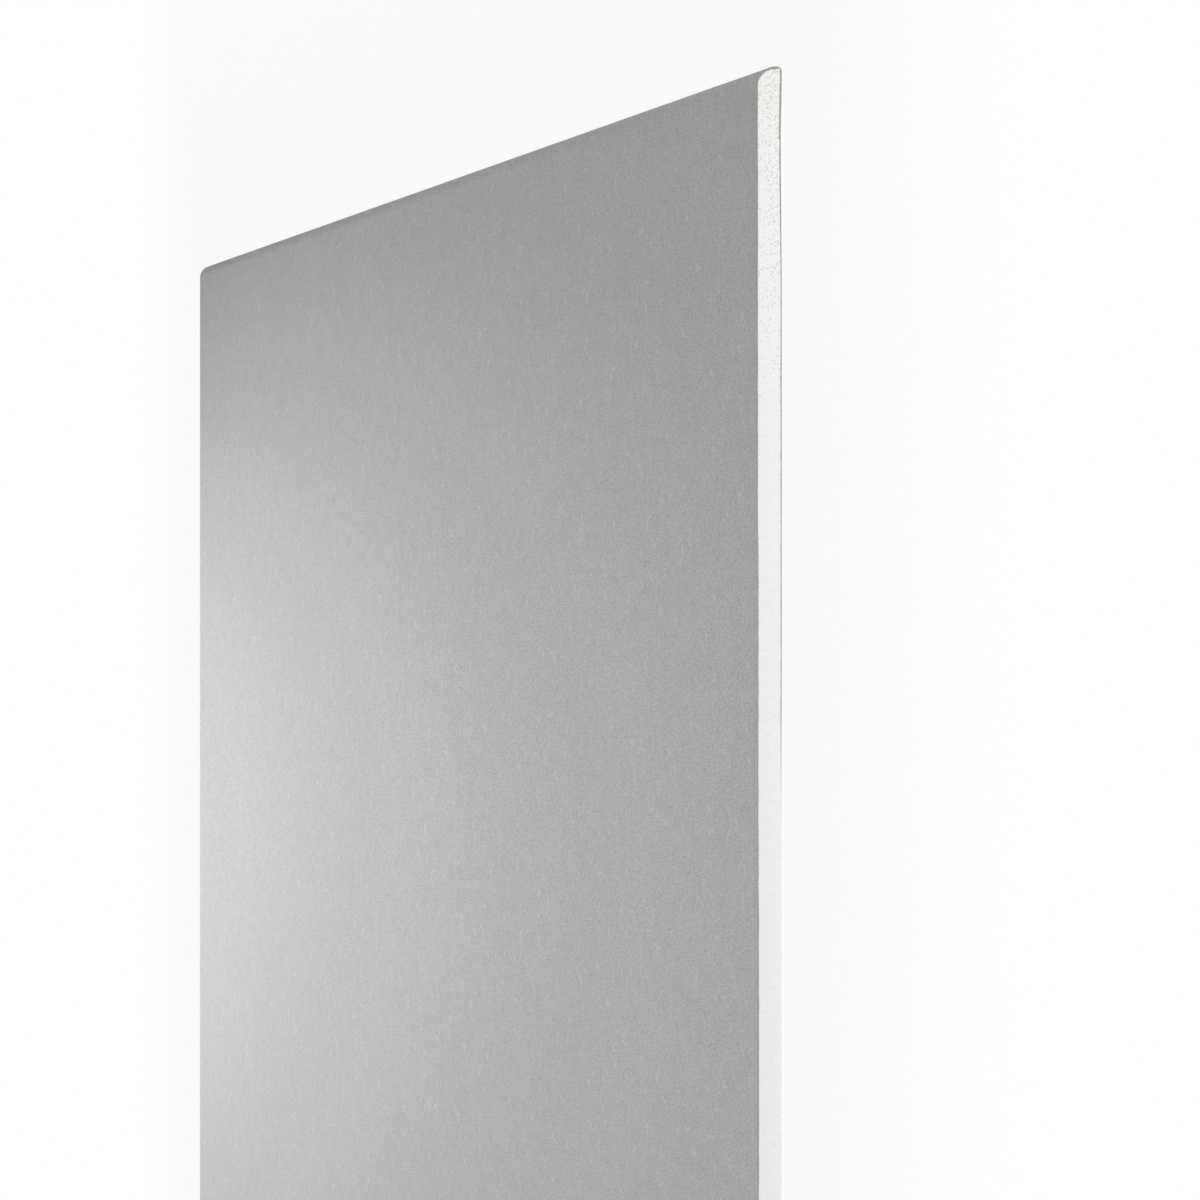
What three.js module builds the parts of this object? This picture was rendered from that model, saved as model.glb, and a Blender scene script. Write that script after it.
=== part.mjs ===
// A full sheet of drywall (gypsum plasterboard), 2000 x 1250 x 12.5 mm, lying flat with its face up.
//
// A gypsum core is cast between two papers. The face paper covers the face, is creased round both
// half-round long edges and is turned under the back as a flap. The back paper is glued over the flaps and
// the core's back. Its edges lie in a step of the flaps, so the back is flush from round to round. The two
// short ends are cut, so all three layers show there.
//
// Millimetres. X runs along the sheet, Y across it and Z up. The origin is on the floor, under the centre.

import * as THREE from 'three';

// ---------------------------------------------------------------- driving dimensions

const length = 2000; // along X, from cut end to cut end
const width = 1250; // along Y, over both long edges
const thickness = 12.5; // along Z, papers included

const facePaper = 0.5; // thickness of the face paper, on the face and in its flaps
const edgePaper = 1.3; // the same paper where it is creased round a long edge
const backPaper = 0.5; // thickness of the back paper

const faceEdgeRadius = 9.5; // the large round of a long edge, from the face down
const backEdgeRadius = 2; // the small round of a long edge, where it turns under
const flapWidth = 36; // how far a flap reaches in under the back, from the long edge
const backPaperGap = 1; // from the end of the small round to the back paper's edge

const faceArcSteps = 18; // straight steps round the large arc
const backArcSteps = 8; // straight steps round the small arc

const facePaperColour = 0xbbbbb8; // unbleached grey board
const backPaperColour = 0xa9a69f; // a darker, browner grey
const gypsumColour = 0xeeeeea; // chalky white

// ---------------------------------------------------------------- levels and places that follow from them

const half = width / 2;
const flapTop = backPaper + facePaper; // the flap lies on the back paper
const flapTip = half - flapWidth;
const backPaperEdge = half - backEdgeRadius - backPaperGap;

const largeRadius = Math.min(faceEdgeRadius, thickness - backEdgeRadius);
const largeArcCentre = new THREE.Vector2(half - largeRadius, thickness - largeRadius);
const smallArcCentre = new THREE.Vector2(half - backEdgeRadius, backEdgeRadius);

// ---------------------------------------------------------------- sections, in the Y-Z plane

// A round that is inset by more than its radius is a plain corner.
function insetRadius(radius, inset) {
  return Math.max(radius - inset, 0);
}

// The long edge at +Y, from the back up to the face, inset by the paper's thickness under it, beside it
// and over it. No inset gives the sheet's outline, and the paper's own thickness gives the core's.
function longEdge(backInset, sideInset, faceInset) {
  const smallArc = new THREE.EllipseCurve(
    smallArcCentre.x,
    smallArcCentre.y,
    insetRadius(backEdgeRadius, sideInset),
    insetRadius(backEdgeRadius, backInset),
    -Math.PI / 2,
    0,
  );
  const largeArc = new THREE.EllipseCurve(
    largeArcCentre.x,
    largeArcCentre.y,
    insetRadius(largeRadius, sideInset),
    insetRadius(largeRadius, faceInset),
    0,
    Math.PI / 2,
  );
  const points = [...smallArc.getPoints(backArcSteps), ...largeArc.getPoints(faceArcSteps)];
  return points.filter((point, i) => i === 0 || point.distanceTo(points[i - 1]) > 1e-6);
}

// The same points at -Y, in the opposite order, so that the two lists join into one outline.
function mirrored(points) {
  return points.map((point) => new THREE.Vector2(-point.x, point.y)).reverse();
}

function facePaperSection() {
  const outside = [
    new THREE.Vector2(flapTip, backPaper),
    new THREE.Vector2(backPaperEdge, backPaper),
    new THREE.Vector2(backPaperEdge, 0),
    ...longEdge(0, 0, 0),
  ];
  const inside = [new THREE.Vector2(flapTip, flapTop), ...longEdge(flapTop, edgePaper, facePaper)];
  const outline = [...outside, ...mirrored(outside)];
  const lining = [...inside, ...mirrored(inside)];
  return new THREE.Shape([...outline, ...lining.reverse()]);
}

// The core fills the paper, and drops past the flaps' tips onto the back paper.
function coreSection() {
  const side = [
    new THREE.Vector2(flapTip, backPaper),
    new THREE.Vector2(flapTip, flapTop),
    ...longEdge(flapTop, edgePaper, facePaper),
  ];
  return new THREE.Shape([...side, ...mirrored(side)]);
}

function backPaperSection() {
  const side = [new THREE.Vector2(backPaperEdge, 0), new THREE.Vector2(backPaperEdge, backPaper)];
  return new THREE.Shape([...side, ...mirrored(side)]);
}

// ---------------------------------------------------------------- layers

// Turns a section's plane into Y-Z, and its depth into X.
const sectionToSheet = new THREE.Matrix4().makeBasis(
  new THREE.Vector3(0, 1, 0),
  new THREE.Vector3(0, 0, 1),
  new THREE.Vector3(1, 0, 0),
);

function layer(name, section, colour, roughness) {
  const geometry = new THREE.ExtrudeGeometry(section, { depth: length, bevelEnabled: false });
  geometry.applyMatrix4(sectionToSheet);
  const material = new THREE.MeshStandardMaterial({ color: colour, roughness, metalness: 0 });
  const mesh = new THREE.Mesh(geometry, material);
  mesh.name = name;
  mesh.position.x = -length / 2;
  return mesh;
}

const sheet = new THREE.Group();
sheet.name = 'drywall_sheet';
sheet.add(
  layer('gypsum_core', coreSection(), gypsumColour, 0.95),
  layer('face_paper', facePaperSection(), facePaperColour, 0.8),
  layer('back_paper', backPaperSection(), backPaperColour, 0.85),
);

export default sheet;
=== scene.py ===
"""The looks of a drywall sheet that lies flat: a gypsum core between a face paper, which is wrapped round
both long edges and turned under, and a back paper. Metres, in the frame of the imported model."""

import math

import bmesh
import bpy
import numpy as np
from mathutils import Matrix, Vector


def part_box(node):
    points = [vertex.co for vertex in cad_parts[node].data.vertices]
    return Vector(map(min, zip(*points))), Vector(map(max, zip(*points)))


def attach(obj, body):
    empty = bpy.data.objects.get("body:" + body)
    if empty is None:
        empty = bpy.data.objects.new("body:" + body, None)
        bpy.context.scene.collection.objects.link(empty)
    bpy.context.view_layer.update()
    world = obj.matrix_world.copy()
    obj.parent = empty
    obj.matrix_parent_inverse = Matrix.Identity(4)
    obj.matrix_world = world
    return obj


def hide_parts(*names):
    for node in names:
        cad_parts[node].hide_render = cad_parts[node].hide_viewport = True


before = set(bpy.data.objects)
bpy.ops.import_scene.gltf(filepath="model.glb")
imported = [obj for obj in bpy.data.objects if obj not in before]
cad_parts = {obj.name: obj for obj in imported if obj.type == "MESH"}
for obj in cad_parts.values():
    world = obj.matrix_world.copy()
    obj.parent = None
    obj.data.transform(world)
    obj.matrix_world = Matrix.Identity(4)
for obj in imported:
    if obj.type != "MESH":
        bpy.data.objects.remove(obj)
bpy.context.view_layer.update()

rng = np.random.default_rng(12)
MM = 0.001

# ---------------------------------------------------------------- sizes

_, core_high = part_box("gypsum_core")
_, face_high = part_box("face_paper")
_, back_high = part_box("back_paper")

END_X = face_high.x
HALF = face_high.y
TOP = face_high.z
FACE_PAPER = face_high.z - core_high.z
EDGE_PAPER = face_high.y - core_high.y
BACK_PAPER = back_high.z
BACK_EDGE = back_high.y
FLAP_TOP = BACK_PAPER + FACE_PAPER

FACE_EDGE_RADIUS = 9.5 * MM
BACK_EDGE_RADIUS = 2 * MM
FLAP_TIP = HALF - 36 * MM
FLAT_EDGE = HALF - FACE_EDGE_RADIUS  # where the face starts to turn down

COLUMN_PITCH = 0.65 * MM  # across the sheet, as fine as the torn fibres of a cut end
LARGE_ARC_STEPS = 26
SMALL_ARC_STEPS = 8
CORE_ROWS = 17  # over the core's thickness, on its cut ends

# Distances of the rows of points from a cut end. They are close together at the torn paper and at the
# start of the crushed stretch.
END_ROWS = np.array([0, 0.7, 2, 6, 40, 104, 111, 118, 400]) * MM

# ---------------------------------------------------------------- camera

VIEW_ANGLE = math.radians(11.3355)  # between the face and the line of sight
CAMERA_PLACE = Vector((4.20123, 0.361355, 0.733342))
LENS = 199.334
SENSOR = 36.0


def make_camera():
    """Looks along the sheet from its front cut end, turned so that +Y is up in the picture."""
    data = bpy.data.cameras.new("camera")
    data.sensor_width = SENSOR
    data.lens = LENS
    camera = bpy.data.objects.new("camera", data)
    bpy.context.scene.collection.objects.link(camera)
    forward = Vector((-math.cos(VIEW_ANGLE), 0, -math.sin(VIEW_ANGLE)))
    up = Vector((0, 1, 0))
    right = forward.cross(up)
    turn = Matrix((right, up, -forward)).transposed()
    camera.matrix_world = Matrix.Translation(CAMERA_PLACE) @ turn.to_4x4()
    bpy.context.scene.camera = camera


# ---------------------------------------------------------------- uneven lines and surfaces


def smooth_step(x):
    x = np.clip(x, 0, 1)
    return x * x * (3 - 2 * x)


def uneven_line(pitch, height):
    """A smooth random line across the sheet: a function of Y that goes up to height either way."""
    knots = rng.uniform(-height, height, int(2 * HALF / pitch) + 3)

    def value(y):
        steps = (np.asarray(y) + HALF) / pitch
        low = np.floor(steps).astype(int)
        share = smooth_step(steps - low)
        return knots[low] * (1 - share) + knots[low + 1] * share

    return value


def lumps(y, z, pitch, height):
    """A smooth random surface over two coordinates, up to height either way."""
    i_at = (y - y.min()) / pitch
    j_at = (z - z.min()) / pitch
    knots = rng.uniform(-height, height, (int(i_at.max()) + 2, int(j_at.max()) + 2))
    i = np.floor(i_at).astype(int)
    j = np.floor(j_at).astype(int)
    u = smooth_step(i_at - i)
    v = smooth_step(j_at - j)
    low = knots[i, j] * (1 - u) + knots[i + 1, j] * u
    high = knots[i, j + 1] * (1 - u) + knots[i + 1, j + 1] * u
    return low * (1 - v) + high * v


# ---------------------------------------------------------------- where the papers meet the core

face_waves = uneven_line(pitch=6.5 * MM, height=0.10 * MM)
back_waves = uneven_line(pitch=4.5 * MM, height=0.07 * MM)
back_swells = uneven_line(pitch=30 * MM, height=0.10 * MM)

# Towards the sheet's middle, the knife has drawn the face paper down over the core, in two steps. Each
# step starts and is complete at these distances from the middle line.
DRAWN_FACE = 0.25 * MM
DRAWN_FACE_STEPS = ((410 * MM, 378 * MM), (245 * MM, 180 * MM))

DRAWN_BACK = 0.12 * MM  # the back paper's edge is spread a little, beyond the flaps
DRAWN_BACK_STOP = HALF - 370 * MM
DRAWN_BACK_FULL = HALF - 260 * MM
PRESSED_FLAP = 0.1 * MM  # the flap's edge is pressed thinner
PRESSED_FLAP_RAMP = 3 * MM  # from the flap's tip to where it is pressed in full

# At the rounds of the long edges, the inner sides of the papers are even again.
EVEN_FACE_EDGE = FLAT_EDGE + 4 * MM
EVEN_FACE_RAMP = 6 * MM
EVEN_BACK_EDGE = HALF - BACK_EDGE_RADIUS
EVEN_BACK_RAMP = 2 * MM

HOLLOW_DEPTH = 0.5 * MM  # of the shallow hollow in the back along the tip of each flap
HOLLOW_START = BACK_EDGE
HOLLOW_MIDDLE = HALF - 37 * MM
HOLLOW_STOP = HALF - 110 * MM


def face_lining(y):
    """How far the uneven inner side of the face paper lies below its plain level."""
    away = np.abs(y)
    steps = sum(smooth_step((start - away) / (start - full)) for start, full in DRAWN_FACE_STEPS)
    uneven = smooth_step((EVEN_FACE_EDGE - away) / EVEN_FACE_RAMP)
    return (face_waves(y) + DRAWN_FACE * steps) * uneven


def back_lining(y):
    """How far the uneven underside of the core lies above its plain level."""
    away = np.abs(y)
    on_flap = smooth_step((away - FLAP_TIP) / PRESSED_FLAP_RAMP)
    drawn = DRAWN_BACK * smooth_step((away - DRAWN_BACK_STOP) / (DRAWN_BACK_FULL - DRAWN_BACK_STOP))
    change = drawn * (1 - on_flap) - PRESSED_FLAP * on_flap
    uneven = smooth_step((EVEN_BACK_EDGE - away) / EVEN_BACK_RAMP)
    return (back_waves(y) + back_swells(y) + change) * uneven


def back_hollow(y):
    """How far the back lies above the floor."""
    away = np.abs(y)
    outer_side = smooth_step((HOLLOW_START - away) / (HOLLOW_START - HOLLOW_MIDDLE))
    inner_side = smooth_step((away - HOLLOW_STOP) / (HOLLOW_MIDDLE - HOLLOW_STOP))
    return HOLLOW_DEPTH * np.minimum(outer_side, inner_side)


# ---------------------------------------------------------------- the section, in Y and Z


def spaced(start, stop):
    """Places from start to stop, both included, about a column's pitch apart."""
    count = max(2, round(abs(stop - start) / COLUMN_PITCH) + 1)
    return np.linspace(start, stop, count)


def line(y, z):
    return np.stack([y, np.broadcast_to(z, y.shape)], 1)


def arc(centre_y, centre_z, radius_y, radius_z, start, stop, steps):
    angle = np.linspace(start, stop, steps + 1)
    return line(centre_y + radius_y * np.cos(angle), centre_z + radius_z * np.sin(angle))


def long_edge(back_inset, side_inset, face_inset):
    """The +Y long edge from its underside up to the face: a small round, then a large one."""
    small = arc(
        HALF - BACK_EDGE_RADIUS, BACK_EDGE_RADIUS,
        BACK_EDGE_RADIUS - side_inset, BACK_EDGE_RADIUS - back_inset,
        -math.pi / 2, 0, SMALL_ARC_STEPS,
    )
    large = arc(
        FLAT_EDGE, TOP - FACE_EDGE_RADIUS,
        FACE_EDGE_RADIUS - side_inset, FACE_EDGE_RADIUS - face_inset,
        0, math.pi / 2, LARGE_ARC_STEPS,
    )
    return small, large


def mirrored(points):
    return points[::-1] * (-1, 1)


def face_paper_paths():
    """The paper's outer and inner side, from flap tip to flap tip, point for point."""
    flap_y = spaced(FLAP_TIP, BACK_EDGE)
    face_y = spaced(FLAT_EDGE, -FLAT_EDGE)[1:-1]
    step = line(np.array([BACK_EDGE]), 0)
    under_step = line(np.array([BACK_EDGE + BACK_PAPER]), FLAP_TOP)
    outer_side = np.concatenate([line(flap_y, BACK_PAPER), step, *long_edge(0, 0, 0)])
    inner_side = np.concatenate(
        [line(flap_y, FLAP_TOP), under_step, *long_edge(FLAP_TOP, EDGE_PAPER, FACE_PAPER)]
    )
    outer = np.concatenate([outer_side, line(face_y, TOP), mirrored(outer_side)])
    inner = np.concatenate([inner_side, line(face_y, TOP - FACE_PAPER), mirrored(inner_side)])
    for path in (outer, inner):
        lower = path[:, 1] < TOP / 2
        path[lower, 1] += back_hollow(path[lower, 0])
    upper = inner[:, 1] > TOP / 2
    inner[upper, 1] -= face_lining(inner[upper, 0])
    inner[~upper, 1] += back_lining(inner[~upper, 0])
    return outer, inner


# ---------------------------------------------------------------- meshes

WELD_DISTANCE = 1e-6
CUT_FACING = 0.6  # a face is part of a cut end if its normal has more than this along X
SHARP_ANGLE = math.radians(35)


def turned(faces, flip):
    """The faces, with the points of each in reverse order if flip is true. make_piece turns all faces
    outwards, so this only settles along which diagonal a bent quad is split."""
    return faces[:, ::-1] if flip else faces


def quads(rows, columns, first=0, flip=False):
    """The quads of a grid whose points run along the columns, row by row."""
    i, j = np.meshgrid(np.arange(rows - 1), np.arange(columns - 1), indexing="ij")
    a = (first + i * columns + j).ravel()
    return turned(np.stack([a, a + 1, a + columns + 1, a + columns], 1), flip)


def make_piece(name, points, faces, slot, node, finish, cut_finish):
    """A closed mesh that stands for a node. Faces that look along the sheet get the cut finish."""
    mesh = bpy.data.meshes.new(name)
    mesh.from_pydata(points.tolist(), [], faces.tolist())
    work = bmesh.new()
    work.from_mesh(mesh)
    bmesh.ops.remove_doubles(work, verts=work.verts, dist=WELD_DISTANCE)
    bmesh.ops.recalc_face_normals(work, faces=work.faces)
    for face in work.faces:
        face.material_index = int(abs(face.normal.x) > CUT_FACING)
    work.to_mesh(mesh)
    work.free()
    mesh.materials.append(finish)
    mesh.materials.append(cut_finish)
    mesh.shade_smooth()
    mesh.set_sharp_from_angle(angle=SHARP_ANGLE)
    piece = bpy.data.objects.new(name, mesh)
    bpy.context.scene.collection.objects.link(piece)
    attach(piece, "root")
    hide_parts(node)


# ---------------------------------------------------------------- the papers

# A paper's torn edge falls short of the end by TORN_SHORT, give or take a coarse and a fine unevenness,
# and single fibres fall shorter still. The paper's inner side falls short by a little more or less, at
# random within TORN_INSIDE.
TORN_SHORT = 0.14 * MM
TORN_UNEVEN = 0.07 * MM
TORN_COARSE_PITCH = 9 * MM
TORN_FINE_PITCH = 2.2 * MM
TORN_FIBRE = 0.16 * MM
TORN_INSIDE = (-0.05 * MM, 0.12 * MM)
TORN_FADE = 6 * MM  # from the end to where the rows of points are straight

# The outside of the +Y long edge is crushed from CRUSH_START to the cut's own lip at the front end.
CRUSH_START = END_X - 107 * MM
CRUSH_RAMP = 6 * MM
CRUSH_DEPTH = 0.36 * MM
CRUSH_INNER_EDGE = HALF - 1.2 * MM  # how far in the crush reaches, over the edge's two rounds
CRUSH_INNER_RAMP = 1 * MM
LIP_START = END_X - 1 * MM
LIP_RAMP = 1.5 * MM


def torn_end(y):
    """How far a paper's cut edge falls short of the end, across the sheet."""
    coarse = uneven_line(TORN_COARSE_PITCH, TORN_UNEVEN)
    fine = uneven_line(TORN_FINE_PITCH, TORN_UNEVEN)
    fibres = rng.uniform(0, TORN_FIBRE, len(y))
    return np.clip(TORN_SHORT + coarse(y) + fine(y) + fibres, 0, None)


def paper_tube(outer, inner):
    """The points of a paper: rows along X, each going out over the outer path and back over the inner
    one, with a torn edge at both ends."""
    front = END_X - END_ROWS
    xs = np.concatenate([front, [0.0], -front[::-1]])
    loop = np.concatenate([outer, inner[::-1]])
    points = np.zeros((len(xs), len(loop), 3))
    points[:, :, 0] = xs[:, None]
    points[:, :, 1:] = loop[None]
    for end in (1, -1):
        short = torn_end(outer[:, 0])
        short_inside = np.clip(short + rng.uniform(*TORN_INSIDE, len(short)), 0, None)
        recess = np.concatenate([short, short_inside[::-1]])
        fade = smooth_step(1 - (END_X - end * xs) / TORN_FADE)[:, None]
        points[:, :, 0] -= end * recess[None] * fade
    return points


def closed_tube(points):
    """Flat points and faces of a tube, with its two ends closed by quads from outer to inner path."""
    rows, count, _ = points.shape
    closed = np.concatenate([points, points[:, :1]], 1)
    faces = [quads(rows, count + 1)]
    j = np.arange(count // 2 - 1)
    for row, flip in ((0, True), (rows - 1, False)):
        at = row * (count + 1)
        cap = np.stack([at + j, at + j + 1, at + count - 2 - j, at + count - 1 - j], 1)
        faces.append(turned(cap, flip))
    return closed.reshape(-1, 3), np.concatenate(faces)


def crush_edge(points):
    """Presses the outside of the +Y long edge in, from near the front cut end up to the cut's own lip."""
    x = points[:, :, 0]
    y = points[:, :, 1]
    along = smooth_step((x - (CRUSH_START - CRUSH_RAMP / 2)) / CRUSH_RAMP)
    behind_lip = smooth_step((LIP_START - x) / LIP_RAMP)
    outside = smooth_step((y - CRUSH_INNER_EDGE) / CRUSH_INNER_RAMP)
    points[:, :, 1] -= CRUSH_DEPTH * along * behind_lip * outside


def make_face_paper():
    points = paper_tube(*face_paper_paths())
    crush_edge(points)
    finish = paper_finish("face_paper", FACE_COLOUR, floc=0.165, mottle=0.012, fibre=0.5)
    cut_finish = cut_paper_finish("face_paper_cut", FACE_CUT_COLOUR, painted_light_in_middle=0.0)
    make_piece("face_paper_wrap", *closed_tube(points), "face_paper", "face_paper", finish, cut_finish)


def make_back_paper():
    y = spaced(BACK_EDGE, -BACK_EDGE)
    over_flap = smooth_step((FLAP_TIP - np.abs(y)) / COLUMN_PITCH)
    under = back_hollow(y)
    points = paper_tube(line(y, under), line(y, under + BACK_PAPER + back_lining(y) * over_flap))
    finish = paper_finish("back_paper", BACK_COLOUR, floc=0.14, mottle=0.03, fibre=0.8)
    # The back paper's cut edge is painted pale towards the sheet's middle: a painted highlight.
    cut_finish = cut_paper_finish("back_paper_cut", BACK_CUT_COLOUR, painted_light_in_middle=1.0)
    make_piece("back_paper_sheet", *closed_tube(points), "back_paper", "back_paper", finish, cut_finish)


# ---------------------------------------------------------------- the gypsum core

PAST_TIP = 0.02 * MM  # between the two columns at a flap's tip, where the core's underside steps down

CUT_DEPTH = 0.16 * MM  # how deep the scraped cut lies on average, between the pits
CUT_LUMP_PITCHES = (5 * MM, 1.4 * MM)
CUT_LUMP_HEIGHT = 0.05 * MM
CUT_GRAIN = 0.02 * MM
STROKE_PITCH = 1.1 * MM  # of the scraper's strokes, over the whole thickness
STROKE_HEIGHT = 0.025 * MM

SPREAD_PITS = 900  # at each end, anywhere in the width
EDGE_PITS = 500  # at each end, near the long edges
EDGE_PITS_REACH = 35 * MM  # the mean distance of those from the long edge
PIT_RADII = (0.25 * MM, 0.85 * MM)
PIT_DEPTH = 0.5  # of a pit's radius


def core_section():
    """The core's columns: their Y, and the lowest and highest Z of each."""
    small, large = long_edge(FLAP_TOP, EDGE_PAPER, FACE_PAPER)
    side_y = np.concatenate([large[:-1, 0], spaced(FLAT_EDGE, FLAP_TIP)])
    middle_y = spaced(FLAP_TIP - PAST_TIP, PAST_TIP - FLAP_TIP)
    y = np.concatenate([side_y, middle_y, -side_y[::-1]])
    away = np.abs(y)
    high = np.interp(away, large[::-1, 0], large[::-1, 1]) - face_lining(y)
    low = np.interp(away, small[:, 0], small[:, 1], left=FLAP_TOP)
    low[away < FLAP_TIP - PAST_TIP / 2] = BACK_PAPER
    return y, low + back_hollow(y) + back_lining(y), high


def pitted(y, z):
    """How deep the cut end of the core lies at each point: a scraped, open surface with burst bubbles,
    which are closer together near the long edges."""
    depth = np.full(y.shape, CUT_DEPTH)
    for pitch in CUT_LUMP_PITCHES:
        depth += lumps(y, z, pitch, CUT_LUMP_HEIGHT)
    depth += rng.uniform(-CUT_GRAIN, CUT_GRAIN, y.shape)
    strokes = uneven_line(STROKE_PITCH, STROKE_HEIGHT)
    depth += strokes(y)
    spread_y = rng.uniform(-HALF, HALF, SPREAD_PITS)
    edge_y = (HALF - rng.exponential(EDGE_PITS_REACH, EDGE_PITS)) * rng.choice((-1, 1), EDGE_PITS)
    centre_y = np.concatenate([spread_y, edge_y])
    centre_z = rng.uniform(BACK_PAPER, TOP - FACE_PAPER, len(centre_y))
    radius = rng.uniform(*PIT_RADII, len(centre_y))
    for pit_y, pit_z, r in zip(centre_y, centre_z, radius):
        near = np.abs(y[:, 0] - pit_y) < r
        distance = np.hypot(y[near] - pit_y, z[near] - pit_z) / r
        depth[near] += PIT_DEPTH * r * np.clip(1 - distance ** 2, 0, None)
    return np.clip(depth, 0, None)


def make_core():
    """A grid of points over each cut end, and quads along the sheet between the rims of the two."""
    y, low, high = core_section()
    columns = len(y)
    share = np.linspace(0, 1, CORE_ROWS)
    grid_y = np.repeat(y[:, None], CORE_ROWS, 1)
    grid_z = low[:, None] + (high - low)[:, None] * share[None]
    count = columns * CORE_ROWS
    points = []
    faces = []
    for first, end in ((0, 1), (count, -1)):
        x = end * (END_X - pitted(grid_y, grid_z))
        points.append(np.stack([x, grid_y, grid_z], 2).reshape(-1, 3))
        faces.append(quads(columns, CORE_ROWS, first, flip=end > 0))
    j = np.arange(columns - 1)
    for row, flip in ((0, False), (CORE_ROWS - 1, True)):
        a = j * CORE_ROWS + row
        b = a + CORE_ROWS
        faces.append(turned(np.stack([a, b, b + count, a + count], 1), flip))
    for column, flip in ((0, True), (columns - 1, False)):
        a = column * CORE_ROWS + np.arange(CORE_ROWS - 1)
        faces.append(turned(np.stack([a, a + 1, a + 1 + count, a + count], 1), flip))
    finish = gypsum_finish()
    make_piece(
        "gypsum_core_block", np.concatenate(points), np.concatenate(faces),
        "gypsum", "gypsum_core", finish, finish,
    )


# ---------------------------------------------------------------- node trees

NOISE_RANGE = (0.2, 0.8)  # nearly all of a noise lies in here
NOISE_MIDDLE = (0.25, 0.75)  # and most of it in here
HAIR_KEPT = (0.56, 0.62)  # a hair fades in as its second noise goes from one of these to the other

# The colour sockets of a Mix node, whose other sockets have the same names.
MIX_COLOUR_A = 6
MIX_COLOUR_B = 7
MIX_COLOUR_RESULT = 2


class Tree:
    """A node tree, with short calls for the nodes that the finishes share."""

    def __init__(self, owner):
        owner.use_nodes = True
        self.tree = owner.node_tree
        self.tree.nodes.clear()

    def new(self, kind):
        return self.tree.nodes.new(kind)

    def link(self, a, b):
        self.tree.links.new(a, b)

    def feed(self, value, socket):
        """Sets a socket to a number or a colour, or links it to another socket."""
        if isinstance(value, (int, float)):
            socket.default_value = value
        elif isinstance(value, tuple):
            socket.default_value = (*value, 1)
        else:
            self.link(value, socket)

    def math(self, operation, a, b=0.0):
        node = self.new("ShaderNodeMath")
        node.operation = operation
        self.feed(a, node.inputs[0])
        self.feed(b, node.inputs[1])
        return node.outputs[0]

    def range(self, value, low, high, to_low=0.0, to_high=1.0):
        """Value from low to high becomes to_low to to_high, with soft ends."""
        node = self.new("ShaderNodeMapRange")
        node.interpolation_type = "SMOOTHSTEP"
        self.link(value, node.inputs["Value"])
        settings = {"From Min": low, "From Max": high, "To Min": to_low, "To Max": to_high}
        for key, number in settings.items():
            node.inputs[key].default_value = number
        return node.outputs["Result"]

    def blend(self, share, a, b):
        """The shader a where share is 0, and b where it is 1."""
        node = self.new("ShaderNodeMixShader")
        self.feed(share, node.inputs[0])
        self.link(a, node.inputs[1])
        self.link(b, node.inputs[2])
        return node.outputs[0]

    def seen_directly(self):
        """1 for a ray that shows this surface to the camera, in a mirror or through glass, or else 0."""
        path = self.new("ShaderNodeLightPath")
        first = self.math("MAXIMUM", path.outputs["Is Camera Ray"], path.outputs["Is Glossy Ray"])
        return self.math("MAXIMUM", first, path.outputs["Is Transmission Ray"])


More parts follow.
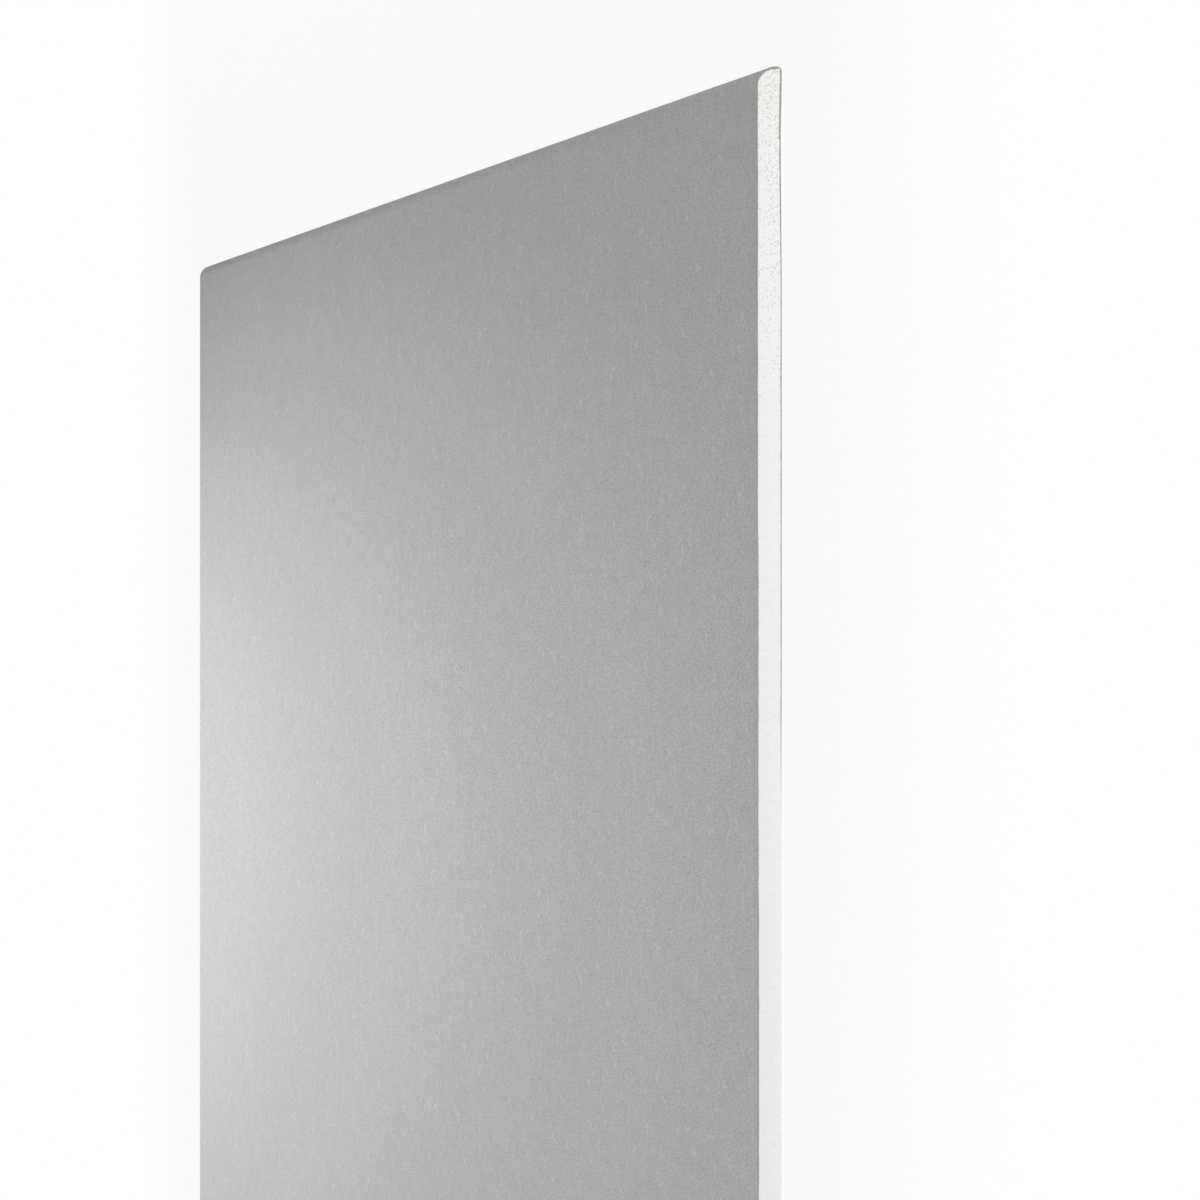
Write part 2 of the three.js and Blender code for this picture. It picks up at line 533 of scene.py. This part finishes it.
class Finish(Tree):
    """A material whose patterns follow the object's own coordinates."""

    def __init__(self, name):
        self.material = bpy.data.materials.new(name)
        super().__init__(self.material)
        self.place = self.new("ShaderNodeTexCoord").outputs["Object"]

    def shown(self, shader):
        """Makes the material show a shader, and returns the material."""
        output = self.new("ShaderNodeOutputMaterial")
        self.link(shader, output.inputs["Surface"])
        return self.material

    def principled(self, colour, roughness, specular, normal):
        """Makes the material show a Principled shader, and returns the material."""
        shader = self.new("ShaderNodeBsdfPrincipled")
        self.feed(colour, shader.inputs["Base Color"])
        self.feed(roughness, shader.inputs["Roughness"])
        self.feed(specular, shader.inputs["Specular IOR Level"])
        self.feed(normal, shader.inputs["Normal"])
        return self.shown(shader.outputs["BSDF"])

    def stretched(self, x, y, z):
        """Object coordinates, counted in features of these sizes in metres."""
        node = self.new("ShaderNodeMapping")
        node.inputs["Scale"].default_value = (1 / x, 1 / y, 1 / z)
        self.link(self.place, node.inputs["Vector"])
        return node.outputs["Vector"]

    def axes(self):
        node = self.new("ShaderNodeSeparateXYZ")
        self.link(self.place, node.inputs[0])
        return node.outputs

    def noise(self, vector, detail=2.0, roughness=0.5):
        node = self.new("ShaderNodeTexNoise")
        node.inputs["Scale"].default_value = 1.0
        node.inputs["Detail"].default_value = detail
        node.inputs["Roughness"].default_value = roughness
        self.link(vector, node.inputs["Vector"])
        return node.outputs["Fac"]

    def spots(self, pitch, radius, share):
        """Round spots, one in each cell at most, in this share of the cells. A spot fades out from half
        its radius."""
        cells = self.new("ShaderNodeTexVoronoi")
        cells.inputs["Scale"].default_value = 1.0
        self.link(self.stretched(pitch, pitch, pitch), cells.inputs["Vector"])
        spot = self.range(cells.outputs["Distance"], 0.5 * radius / pitch, radius / pitch, 1.0, 0.0)
        parts = self.new("ShaderNodeSeparateColor")
        self.link(cells.outputs["Color"], parts.inputs["Color"])
        chosen = self.math("LESS_THAN", parts.outputs["Red"], share)
        return self.math("MULTIPLY", spot, chosen)

    def mix(self, share, a, b):
        """Mixes two colours, each a triple or a socket."""
        node = self.new("ShaderNodeMix")
        node.data_type = "RGBA"
        self.feed(share, node.inputs[0])
        self.feed(a, node.inputs[MIX_COLOUR_A])
        self.feed(b, node.inputs[MIX_COLOUR_B])
        return node.outputs[MIX_COLOUR_RESULT]

    def scaled(self, colour, swing, value):
        """The colour times 1 - swing to 1 + swing, as value goes over a noise's middle range."""
        node = self.new("ShaderNodeVectorMath")
        node.operation = "SCALE"
        self.link(colour, node.inputs[0])
        self.link(self.range(value, *NOISE_MIDDLE, 1 - swing, 1 + swing), node.inputs["Scale"])
        return node.outputs["Vector"]

    def bump(self, height, distance, below=None):
        node = self.new("ShaderNodeBump")
        node.inputs["Distance"].default_value = distance
        self.link(height, node.inputs["Height"])
        if below is not None:
            self.link(below, node.inputs["Normal"])
        return node.outputs["Normal"]

    def hairs(self, curl, chop, width):
        """Thin curved lines, as of single fibres: contours of a noise, cut short by a second one. Curl
        and chop give the sizes of the two noises' features, along the sheet and across it."""

        def plain_noise(along, across):
            return self.noise(self.stretched(along, across, across), detail=1.0)

        contour = self.math("ABSOLUTE", self.math("SUBTRACT", plain_noise(*curl), 0.5))
        whole = self.range(contour, 0.0, width, 1.0, 0.0)
        kept = self.range(plain_noise(*chop), *HAIR_KEPT)
        return self.math("MULTIPLY", whole, kept)


# ---------------------------------------------------------------- finishes

FACE_COLOUR = (0.438, 0.438, 0.433)
BACK_COLOUR = (0.380, 0.362, 0.330)
FACE_CUT_COLOUR = (0.352, 0.350, 0.342)  # the torn, fibrous cut edge of the face paper
BACK_CUT_COLOUR = (0.325, 0.321, 0.311)
GYPSUM_COLOUR = (0.876, 0.876, 0.866)
WARM_GYPSUM_COLOUR = (0.870, 0.860, 0.780)
SPECK_COLOUR = (0.62, 0.62, 0.60)  # inside a burst bubble of the gypsum; the same grey, laid denser near the long edges and back corners, is painted shade

PALE_FIBRE = 1.35  # times the paper's own colour
DARK_FIBRE = 0.6
CLUMP_MOTTLE = 2.5  # of the small clouds, times that of the large ones
PAPER_ROUGHNESS = (0.86, 0.74)  # of dark and of pale flocs
PAPER_SPECULAR = 0.12
CHALK_ROUGHNESS = 0.95  # of gypsum and of cut paper
CHALK_SPECULAR = 0.2

# Gypsum dust on a cut paper lies in patches, which grow stronger between these values of a noise.
DUST_PATCHES = (0.55, 0.75)
PATCH_STRENGTH = 0.1
MIDDLE_PAINTED_LIGHT_FADE = (HALF - 385 * MM, HALF - 290 * MM)  # distances from the sheet's middle line where a cut paper's painted highlight is full and where it is gone

# The rubbed spot on the small round of each long edge. It fades from the first radius to the second.
RUBBED_Y = HALF - 0.9 * MM
RUBBED_Z = 0.8 * MM
RUBBED_FADE = (0.5 * MM, 1.3 * MM)
RUBBED_STRENGTH = 0.38

# Towards the long edges the gypsum has more specks, and close to them it is warmer and has still more.
# These extra specks are painted shade. Each pair gives the distances from the middle line where the
# change starts and where it is complete.
EDGE_SPECKS_GROW = (HALF - 215 * MM, HALF - 50 * MM)
CORNER_GROWS = (HALF - 45 * MM, HALF - 12 * MM)
FACE_SIDE_FADE = (4 * MM, 9 * MM)  # heights over which both grow weaker, down to FACE_SIDE_SHARE
FACE_SIDE_SHARE = 0.35

# The share of cells that have a speck: all over, towards the long edges and in the corners at the back.
# The extra specks towards the edges and in the corners are painted shade.
SPREAD_SPECKS = 0.2
EDGE_SHADE_SPECKS = 0.4
CORNER_SHADE_SPECKS = 0.5
SPREAD_SPECK_STRENGTH = 0.35  # the specks all over are fainter than the others


def tint(colour, factor):
    return tuple(min(1.0, channel * factor) for channel in colour)


def paper_finish(name, colour, floc, mottle, fibre):
    """Board liner: flocs drawn out along the sheet, soft clouds, and single pale and dark fibres. The
    three numbers say how strongly each of these shows."""
    f = Finish(name)
    flocs = f.noise(f.stretched(5 * MM, 0.9 * MM, 0.9 * MM), detail=3.0, roughness=0.7)
    clumps = f.noise(f.stretched(26 * MM, 8 * MM, 8 * MM))
    clouds = f.noise(f.stretched(120 * MM, 45 * MM, 45 * MM), detail=3.0, roughness=0.55)
    shade = f.mix(f.range(flocs, *NOISE_MIDDLE), tint(colour, 1 - floc), tint(colour, 1 + floc))
    shade = f.scaled(shade, swing=CLUMP_MOTTLE * mottle, value=clumps)
    shade = f.scaled(shade, swing=mottle, value=clouds)
    pale = f.hairs(curl=(13 * MM, 9 * MM), chop=(16 * MM, 12 * MM), width=0.045)
    dark = f.hairs(curl=(11 * MM, 7 * MM), chop=(9 * MM, 8 * MM), width=0.020)
    for hairs, factor in ((pale, PALE_FIBRE), (dark, DARK_FIBRE)):
        shade = f.mix(f.math("MULTIPLY", hairs, fibre), shade, tint(colour, factor))
    grain = f.noise(f.stretched(0.9 * MM, 0.35 * MM, 0.35 * MM))
    roughness = f.range(flocs, *NOISE_RANGE, *PAPER_ROUGHNESS)
    normal = f.bump(grain, distance=0.012 * MM, below=f.bump(flocs, distance=0.03 * MM))
    return f.principled(shade, roughness, PAPER_SPECULAR, normal)


def cut_paper_finish(name, colour, painted_light_in_middle):
    """A paper's torn cut edge, with gypsum powder rubbed into it in patches and on the small rounds of
    the long edges. Towards the sheet's middle it is painted pale, as strongly as painted_light_in_middle
    says: a painted highlight."""
    f = Finish(name)
    fibres = f.noise(f.stretched(0.6 * MM, 0.5 * MM, 0.12 * MM), detail=3.0, roughness=0.6)
    patches = f.noise(f.stretched(5 * MM, 5 * MM, 1.2 * MM))
    away = f.math("ABSOLUTE", f.axes()["Y"])
    # Painted highlight: the cut edge is painted pale towards the sheet's middle.
    middle = f.range(away, *MIDDLE_PAINTED_LIGHT_FADE, painted_light_in_middle, 0.0)
    dust_and_painted_light = f.math("MAXIMUM", middle, f.range(patches, *DUST_PATCHES, 0.0, PATCH_STRENGTH))
    dust_and_painted_light = f.math("MAXIMUM", dust_and_painted_light, rubbed_corner(f, away))
    shade = f.scaled(f.mix(dust_and_painted_light, colour, GYPSUM_COLOUR), swing=0.09, value=fibres)
    return f.principled(shade, CHALK_ROUGHNESS, CHALK_SPECULAR, f.bump(fibres, distance=0.06 * MM))


def rubbed_corner(f, away):
    """Dust on the small round of a long edge, where the cut is rubbed pale."""
    beside = f.math("SUBTRACT", away, RUBBED_Y)
    above = f.math("SUBTRACT", f.axes()["Z"], RUBBED_Z)
    squares = f.math("ADD", f.math("MULTIPLY", beside, beside), f.math("MULTIPLY", above, above))
    return f.range(f.math("SQRT", squares), *RUBBED_FADE, RUBBED_STRENGTH, 0.0)


def gypsum_finish():
    """Chalky cast plaster: nearly white, with fine grain and grey specks where bubbles are cut open. The
    extra grey specks towards the long edges and in the corners at the back are painted shade, and those
    corners are a little warmer."""
    f = Finish("gypsum")
    grain = f.noise(f.stretched(0.5 * MM, 0.5 * MM, 0.5 * MM), detail=3.0, roughness=0.65)
    clouds = f.noise(f.stretched(9 * MM, 9 * MM, 9 * MM))
    away = f.math("ABSOLUTE", f.axes()["Y"])
    by_the_back = f.range(f.axes()["Z"], *FACE_SIDE_FADE, 1.0, FACE_SIDE_SHARE)
    near_edge_shade = f.range(away, *EDGE_SPECKS_GROW, 0.0, EDGE_SHADE_SPECKS)
    at_corner = f.math("MULTIPLY", f.range(away, *CORNER_GROWS), by_the_back)
    warm = f.mix(f.math("MULTIPLY", at_corner, clouds), GYPSUM_COLOUR, WARM_GYPSUM_COLOUR)
    shade = f.scaled(warm, swing=0.02, value=grain)
    # Painted shade: extra grey specks towards the long edges and in the corners at the back.
    edge_share = f.math("MULTIPLY", near_edge_shade, by_the_back)
    corner_share = f.math("MULTIPLY", at_corner, CORNER_SHADE_SPECKS)
    spread_specks = f.spots(pitch=1.9 * MM, radius=0.45 * MM, share=SPREAD_SPECKS)
    edge_shade_specks = f.spots(pitch=1.2 * MM, radius=0.5 * MM, share=edge_share)
    corner_shade_specks = f.spots(pitch=1.1 * MM, radius=0.5 * MM, share=corner_share)
    faint_specks = f.math("MULTIPLY", spread_specks, SPREAD_SPECK_STRENGTH)
    for specks in (faint_specks, edge_shade_specks, corner_shade_specks):
        shade = f.mix(specks, shade, SPECK_COLOUR)
    return f.principled(shade, CHALK_ROUGHNESS, CHALK_SPECULAR, f.bump(grain, distance=0.06 * MM))


# ---------------------------------------------------------------- floor and light

WHITE = (1.0, 1.0, 1.0)
FLOOR_COLOUR = (0.8, 0.8, 0.8)
FLOOR_RADIUS = 40.0
FLOOR_DROP = 0.05 * MM  # so that the floor and the sheet's back don't share a plane
SHADOW_SHARE = 0.08  # how much of the floor's own shading shows beside the sheet
SHADOW_REACH = 0.5  # metres from the sheet's outline to where the floor is plain white

WORLD_LIGHT = 0.44
SPOT_RADIUS = 0.15


def make_floor():
    work = bmesh.new()
    bmesh.ops.create_circle(work, cap_ends=True, segments=96, radius=FLOOR_RADIUS)
    mesh = bpy.data.meshes.new("floor")
    work.to_mesh(mesh)
    work.free()
    floor = bpy.data.objects.new("floor", mesh)
    floor.location.z = -FLOOR_DROP
    bpy.context.scene.collection.objects.link(floor)
    mesh.materials.append(floor_finish())


def floor_finish():
    """A pale floor that the camera sees nearly white, with its own shading only round the sheet."""
    f = Finish("floor")
    x, y, _ = f.axes()
    beyond_end = f.math("SUBTRACT", f.math("ABSOLUTE", x), END_X)
    beyond_side = f.math("SUBTRACT", f.math("ABSOLUTE", y), HALF)
    distance = f.math("MAXIMUM", beyond_end, beyond_side)
    white_share = f.range(distance, 0.0, SHADOW_REACH, 1 - SHADOW_SHARE, 1.0)
    plain = f.new("ShaderNodeBsdfDiffuse")
    f.feed(FLOOR_COLOUR, plain.inputs["Color"])
    white = f.new("ShaderNodeEmission")
    f.feed(WHITE, white.inputs["Color"])
    share = f.math("MULTIPLY", f.seen_directly(), white_share)
    return f.shown(f.blend(share, plain.outputs[0], white.outputs[0]))


def make_world():
    """Even light from all round, which the camera and mirrors see as plain white."""
    world = bpy.data.worlds.new("world")
    bpy.context.scene.world = world
    t = Tree(world)
    lit = t.new("ShaderNodeBackground")
    white = t.new("ShaderNodeBackground")
    for background, strength in ((lit, WORLD_LIGHT), (white, 1.0)):
        t.feed(WHITE, background.inputs["Color"])
        t.feed(strength, background.inputs["Strength"])
    output = t.new("ShaderNodeOutputWorld")
    t.link(t.blend(t.seen_directly(), lit.outputs[0], white.outputs[0]), output.inputs["Surface"])


def aim(data, place, target):
    """A lamp that points from a place at a target, and that the camera doesn't see."""
    lamp = bpy.data.objects.new(data.name, data)
    bpy.context.scene.collection.objects.link(lamp)
    lamp.location = place
    lamp.rotation_mode = "QUATERNION"
    lamp.rotation_quaternion = (Vector(target) - Vector(place)).to_track_quat("-Z", "X")
    lamp.visible_camera = False
    return lamp


def make_panel(name, place, target, size, power):
    data = bpy.data.lights.new(name, "AREA")
    data.shape = "RECTANGLE"
    data.size, data.size_y = size
    data.energy = power
    aim(data, place, target)


def make_sheen_spot(name, place, target, angle, power):
    """A soft-edged spot whose light shows only as sheen."""
    data = bpy.data.lights.new(name, "SPOT")
    data.spot_size = math.radians(angle)
    data.spot_blend = 1.0
    data.shadow_soft_size = SPOT_RADIUS
    data.energy = power
    aim(data, place, target).visible_diffuse = False


# ---------------------------------------------------------------- the scene

bpy.context.scene.view_settings.view_transform = "Standard"
make_camera()
make_world()
make_floor()

# The front panel lights the front cut end. The rear one lights the rear cut end and the far half of the
# face, on which the spot adds the pale pool.
make_panel("front_panel", place=(4.5, 1.6, 0.8), target=(0.8, 0.4, 0), size=(1.2, 0.8), power=80)
make_panel("rear_panel", place=(-4.5, -1.2, 0.4), target=(-0.8, 0.1, 0), size=(1.2, 0.6), power=69)
make_sheen_spot("rear_spot", place=(-5.0, 0.13, 1.2), target=(-0.7, 0.13, 0), angle=16, power=985)

make_core()
make_face_paper()
make_back_paper()
